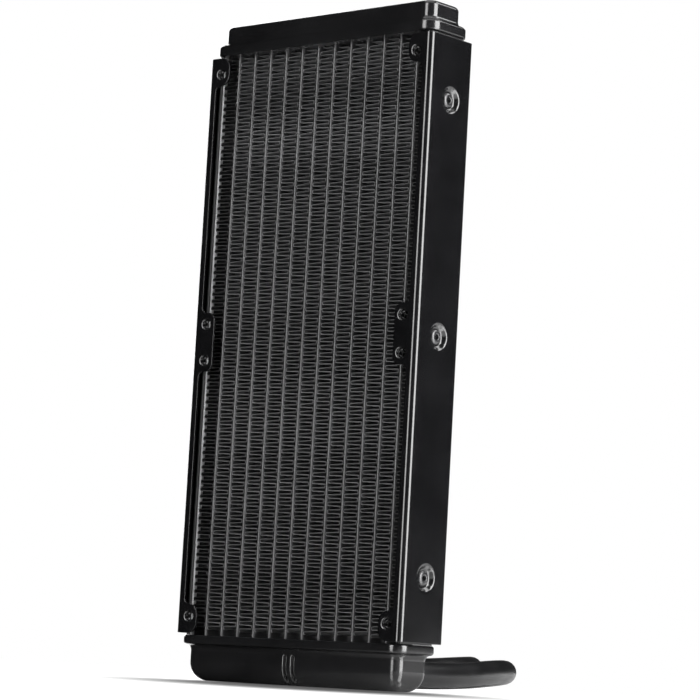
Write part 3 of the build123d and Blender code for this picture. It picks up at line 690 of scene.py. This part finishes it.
def fin_mesh(name, seed):
    """A louvred strip folded to and fro between two tubes, about x = 0, from z = 0 up."""
    rng = random.Random(seed)
    builder = Builder()
    stations = [-FIN_HALF_DEPTH]     # y of the strip's cut edges and of the louvres' long edges
    pitch = (2 * FIN_HALF_DEPTH - 2 * LOUVRE_MARGIN) / LOUVRES
    for i in range(LOUVRES):
        start = -FIN_HALF_DEPTH + LOUVRE_MARGIN + i * pitch
        stations += [start + LOUVRE_SLIT, start + pitch - LOUVRE_SLIT]
    stations.append(FIN_HALF_DEPTH)
    line = []    # (x, z, 1 where louvres are cut and 0 elsewhere) along the fold
    reach = FIN_REACH - FIN_HEM
    for k in range(2 * FIN_PERIODS):
        side = -1 if k % 2 == 0 else 1
        z = k * FIN_PERIOD / 2 + FIN_FIRST_Z + rng.uniform(-FIN_JITTER, FIN_JITTER)
        for a in CREST_ANGLES:
            line.append((side * (reach - CREST_R + CREST_R * math.cos(math.radians(a))),
                         z + CREST_R * math.sin(math.radians(a)), 0.0))
        z_next = (k + 1) * FIN_PERIOD / 2 + FIN_FIRST_Z - CREST_R
        z += CREST_R
        for share, cut in FLANK_STOPS:
            line.append((side * (reach - CREST_R) * (1 - 2 * share), z + (z_next - z) * share, cut))
    columns = []
    for x, z, cut in line:
        column = []
        for row, y in enumerate(stations):
            lift = 0.0
            if 0 < row < len(stations) - 1:
                lift = LOUVRE_LIFT if row % 2 == 1 else -LOUVRE_LIFT
                if row > len(stations) / 2:     # the back half's louvres tilt the other way
                    lift = -lift
            column.append(Vector((x, y, z + cut * lift)))
        columns.append(builder.ring(column))
    hems = [fin_hem(builder, line, columns, row, y)
            for row, y in ((0, -FIN_HALF_DEPTH), (-1, FIN_HALF_DEPTH))]
    for hem in hems:
        builder.loft(hem, False)
    for k, (a, b) in enumerate(zip(columns, columns[1:])):
        louvred = line[k][2] > 0 and line[k + 1][2] > 0
        for row in range(len(stations) - 1):
            if not (louvred and row % 2 == 0):     # the slits and margins are open beside the louvres
                builder.faces.append([a[row], a[row + 1], b[row + 1], b[row]])
    return builder.mesh(name, sharp=30)


fin_meshes = [fin_mesh(f"fin_fold_{i}", 40 + i) for i in range(3)]
outer_fin_mesh = fin_mesh("fin_fold_outer", 43)
for number in range(1, TUBE_COUNT + 2):
    node_name = f"fin_strip_{number:02d}"
    low, high = node_mm(node_name)
    # the outermost strips take the darker copy of the fin paint: painted shade beside the side channels
    if number in (1, TUBE_COUNT + 1):
        mesh, material = outer_fin_mesh, fin_shade_and_plate_paint
    else:
        mesh, material = fin_meshes[number % 3], fin_paint
    strip = show(f"{node_name}_looks", mesh, material, node_name)
    strip.location = Vector(((low.x + high.x) / 2, 0, low.z + FIN_STAGGER * (number % 4))) * MM


# ---- core: flat tubes and side plates ----
TUBE_ROW_STEP = 0.75   # least distance between the rows of points along a tube
TUBE_SLIMMING = 0.92   # the drawn tube's thickness, as a share of its node's
NOSE_GAP = 0.06        # how far its noses stay behind the node's
BEAD_SIZE, BEAD_PUSH = 0.05, 0.4       # how much a bead of brazing swells a nose and moves it out


def tube_mesh(name, seed):
    """A flat tube with rounded noses that carry small beads of brazing."""
    rng = random.Random(seed)
    half_thick = (tube_high.x - tube_low.x) / 2
    half_depth = tube_high.y
    length = tube_high.z - tube_low.z
    builder = Builder()
    rings = []
    count = int(length / TUBE_ROW_STEP)
    thick = half_thick * TUBE_SLIMMING
    nose = arc(0, 0, thick, 180, 360, 8)
    for k in range(count + 1):
        z = length * k / count
        bead = max(0.0, rng.gauss(0, 1) - 1.0) * BEAD_SIZE
        front = [(x, -(half_depth - thick) + y * (1 + bead) - bead * BEAD_PUSH + NOSE_GAP, z)
                 for x, y in nose]
        rings.append(builder.ring(front + [(-x, -y, z) for x, y, _ in front]))
    builder.loft(rings)
    builder.cap(rings[0])
    builder.cap(rings[-1])
    return builder.mesh(name, sharp=60)


tube_meshes = [tube_mesh(f"tube_form_{i}", 70 + i) for i in range(3)]
for number in range(1, TUBE_COUNT + 1):
    node_name = f"flat_tube_{number:02d}"
    low, high = node_mm(node_name)
    tube = show(f"{node_name}_looks", tube_meshes[number % 3], tube_paint, node_name)
    tube.location = Vector(((low.x + high.x) / 2, 0, low.z)) * MM


BARE_HIGHLIGHT_LOW_Y, BARE_HIGHLIGHT_HIGH_Y = 6.0, 8.4     # between these the plate's inner face is bright aluminium, front and back: partly bare metal, partly a painted highlight
PLATE_END = 0.2                        # a short length of the plate at each end, with points of its own


def core_plate(side):
    """The plate beside the outermost fins, with its inner face divided where the bright band goes, partly
    bare metal and partly a painted highlight.
    """
    half_thick = (plate_high.x - plate_low.x) / 2
    half_depth = plate_high.y
    middle = plate_low.x + half_thick
    r = half_thick * 0.7
    inner = -half_thick
    section = [(inner, y) for y in (-half_depth + r, -BARE_HIGHLIGHT_HIGH_Y, -BARE_HIGHLIGHT_LOW_Y,
                                    BARE_HIGHLIGHT_LOW_Y, BARE_HIGHLIGHT_HIGH_Y, half_depth - r)]
    section += arc(inner + r, half_depth - r, r, 180, 90, 4)[1:]
    section += arc(-inner - r, half_depth - r, r, 90, 0, 4)
    section += arc(-inner - r, -half_depth + r, r, 0, -90, 4)
    section += arc(inner + r, -half_depth + r, r, -90, -180, 4)[:-1]
    builder = Builder()
    builder.loft([builder.ring([(side * (middle + x), y, z) for x, y in section])
                  for z in (plate_low.z, plate_low.z + PLATE_END, plate_high.z - PLATE_END, plate_high.z)])
    count = len(section)
    builder.cap(range(count))
    builder.cap(range(3 * count, 4 * count))
    return builder


for side_name, side in (("left", -1), ("right", 1)):
    name = f"{side_name}_core_plate_looks"
    plate_mesh = core_plate(side).mesh(name)
    # the plate's own black paint, the same darker material that gives the outer fins their painted shade
    plate_mesh.materials.append(fin_shade_and_plate_paint)
    plate_mesh.materials.append(plate_highlight_metal)
    for face in plate_mesh.polygons:
        facing_in = face.normal.x * side < -0.9
        # the bright band on the inner face, partly bare metal and partly a painted highlight
        if facing_in and BARE_HIGHLIGHT_LOW_Y * MM < abs(face.center.y) < BARE_HIGHLIGHT_HIGH_Y * MM:
            face.material_index = 1
    show(name, plate_mesh, plate_highlight_metal, f"{side_name}_core_plate", weighted=True)

# ---- CAD nodes that keep their shape ----
KEPT = {
    fitting_metal: ["inlet_fitting", "outlet_fitting"],
    seal_rubber: ["inlet_o_ring", "outlet_o_ring", "inlet_pump_o_ring", "outlet_pump_o_ring",
                  "fill_plug_seal"],
    rivet_paint: ["fill_plug"],
    bare_metal: ["flow_partition"],
    tube_paint: ["top_header_plate", "bottom_header_plate"],
}
for kept_material, names in KEPT.items():
    for node_name in names:
        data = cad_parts[node_name].data
        data.materials.clear()
        data.materials.append(kept_material)


# ---- studio, in metres ----
AIM_HEIGHT = 0.14


def softbox(name, azimuth, height, distance, size, radiance):
    """A rectangular light that faces the radiator, at an azimuth in degrees from the front towards +X."""
    width, tall = size
    light = bpy.data.lights.new(name, "AREA")
    light.shape = "RECTANGLE"
    light.size, light.size_y = width, tall
    light.energy = radiance * width * tall * math.pi
    obj = bpy.data.objects.new(name, light)
    bpy.context.scene.collection.objects.link(obj)
    a = math.radians(azimuth)
    obj.location = (distance * math.sin(a), -distance * math.cos(a), height)
    target = Vector((0, 0, min(height, AIM_HEIGHT)))
    obj.rotation_euler = (target - obj.location).to_track_quat("-Z", "Y").to_euler()
    obj.visible_camera = False


softbox("front_softbox", 2, 0.43, 1.0, (0.40, 1.0), 11.0)
softbox("right_softbox", 97, 0.43, 1.0, (0.62, 1.0), 16.0)
softbox("back_left_softbox", 235, 0.6, 1.3, (0.5, 1.0), 5.0)
softbox("overhead_softbox", 20, 1.7, 0.3, (1.7, 1.7), 1.8)
softbox("rear_right_softbox", 139, 1.15, 0.95, (0.7, 0.6), 7.0)

# The camera sees a white background, which lights the part and shows in it only faintly.
world = bpy.data.worlds.new("studio")
bpy.context.scene.world = world
world.use_nodes = True
world_nodes, world_links = world.node_tree.nodes, world.node_tree.links
seen = world_nodes["Background"]
seen.inputs["Color"].default_value = (1, 1, 1, 1)
unseen = world_nodes.new("ShaderNodeBackground")
unseen.inputs["Color"].default_value = (0.5, 0.5, 0.52, 1)
unseen.inputs["Strength"].default_value = 0.02
path = world_nodes.new("ShaderNodeLightPath")
mix = world_nodes.new("ShaderNodeMixShader")
world_links.new(path.outputs["Is Camera Ray"], mix.inputs["Fac"])
world_links.new(unseen.outputs["Background"], mix.inputs[1])
world_links.new(seen.outputs["Background"], mix.inputs[2])
world_links.new(mix.outputs["Shader"], world_nodes["World Output"].inputs["Surface"])

FLOOR = 12.0           # half the floor's width
floor_mesh = bpy.data.meshes.new("floor")
floor_mesh.from_pydata([(x, y, 0) for x, y in ((-FLOOR, -FLOOR), (FLOOR, -FLOOR), (FLOOR, FLOOR),
                                               (-FLOOR, FLOOR))], [], [(0, 1, 2, 3)])
floor = bpy.data.objects.new("floor", floor_mesh)
bpy.context.scene.collection.objects.link(floor)
floor_material = surface("pale_floor", (0.012, 0.012, 0.0122), 0.7, 0.05, 0.02, grain=300, bump=0.0,
                         cloud=3.0)
floor_nodes, floor_links = floor_material.node_tree.nodes, floor_material.node_tree.links


def floor_node(kind, operation=None, values=()):
    """A node of the floor's material, with the values of its first inputs."""
    node = floor_nodes.new(kind)
    if operation:
        node.operation = operation
    for socket, value in zip(node.inputs, values):
        if value is not None:
            socket.default_value = value
    return node


# Seen by the camera, the floor is a bright sweep with a painted shadow, a soft dark ellipse in its glow
# that runs from under the part towards the camera. Seen in reflections, it is a glossy table whose colour
# holds painted shade and light, dark to the front left and light to the back right.
# the painted shadow: its ellipse's centre and half sizes, in metres, turned to the camera's heading
SHADOW_ELLIPSE_CENTRE, SHADOW_ELLIPSE_HALF = (0.078, -0.091, 0.0), (0.095, 0.34, 1.0)
FADE_START, FADE_END = 0.35, 1.0       # shares of the ellipse's half size
SHADOW_GLOW, BRIGHT_GLOW = 0.02, 1.15
# painted shade and light in the floor's colour, seen only in reflections: its direction, where it turns
# from dark to light, and how dark and light it gets
SHADE_RAMP_DIRECTION = (0.75, 0.66, 0.0)
SHADE_RAMP_START, SHADE_RAMP_END = -0.03, 0.16     # along that direction
SHADE_RAMP_DARK, SHADE_RAMP_LIGHT = 0.03, 0.95
TABLE_GLOSS, TABLE_ROUGHNESS = (0.45, 0.45, 0.45, 1), 0.12

floor_place = floor_node("ShaderNodeTexCoord")
turned_place = floor_node("ShaderNodeMapping")
turned_place.vector_type = "TEXTURE"
turned_place.inputs["Location"].default_value = SHADOW_ELLIPSE_CENTRE
turned_place.inputs["Rotation"].default_value = (0.0, 0.0, HEADING)
turned_place.inputs["Scale"].default_value = SHADOW_ELLIPSE_HALF
# the glow is dimmest in the ellipse's middle: a painted shadow on an otherwise evenly bright floor
distance = floor_node("ShaderNodeVectorMath", "LENGTH")
shadow_fade = floor_node("ShaderNodeMapRange", None, (None, FADE_START, FADE_END, SHADOW_GLOW, BRIGHT_GLOW))
shadow_fade.interpolation_type = "SMOOTHSTEP"
glow = floor_node("ShaderNodeEmission")
both = floor_node("ShaderNodeAddShader")
along = floor_node("ShaderNodeVectorMath", "DOT_PRODUCT", (None, SHADE_RAMP_DIRECTION))
# painted shade and light: the floor's colour in reflections runs from dark to light along one direction
shade_ramp = floor_node("ShaderNodeMapRange", None, (None, SHADE_RAMP_START, SHADE_RAMP_END, SHADE_RAMP_DARK, SHADE_RAMP_LIGHT))
matt = floor_node("ShaderNodeBsdfDiffuse")
gloss = floor_node("ShaderNodeBsdfGlossy", None, (TABLE_GLOSS, TABLE_ROUGHNESS))
reflected = floor_node("ShaderNodeAddShader")
floor_path = floor_node("ShaderNodeLightPath")
chosen = floor_node("ShaderNodeMixShader")
for source, output, target, socket in (
        (floor_place, "Object", turned_place, "Vector"),
        (turned_place, "Vector", distance, 0),
        (distance, "Value", shadow_fade, "Value"),
        (shadow_fade, "Result", glow, "Strength"),
        (glow, "Emission", both, 0),
        (floor_nodes["Principled BSDF"], "BSDF", both, 1),
        (floor_place, "Object", along, 0),
        (along, "Value", shade_ramp, "Value"),
        (shade_ramp, "Result", matt, "Color"),
        (matt, "BSDF", reflected, 0),
        (gloss, "BSDF", reflected, 1),
        (floor_path, "Is Camera Ray", chosen, "Fac"),
        (reflected, "Shader", chosen, 1),
        (both, "Shader", chosen, 2),
        (chosen, "Shader", floor_nodes["Material Output"], "Surface")):
    floor_links.new(source.outputs[output], target.inputs[socket])
floor_mesh.materials.append(floor_material)

view = bpy.context.scene.view_settings
view.view_transform = "Standard"
view.look = "None"
view.exposure, view.gamma = 0.0, 1.0

bpy.context.view_layer.update()
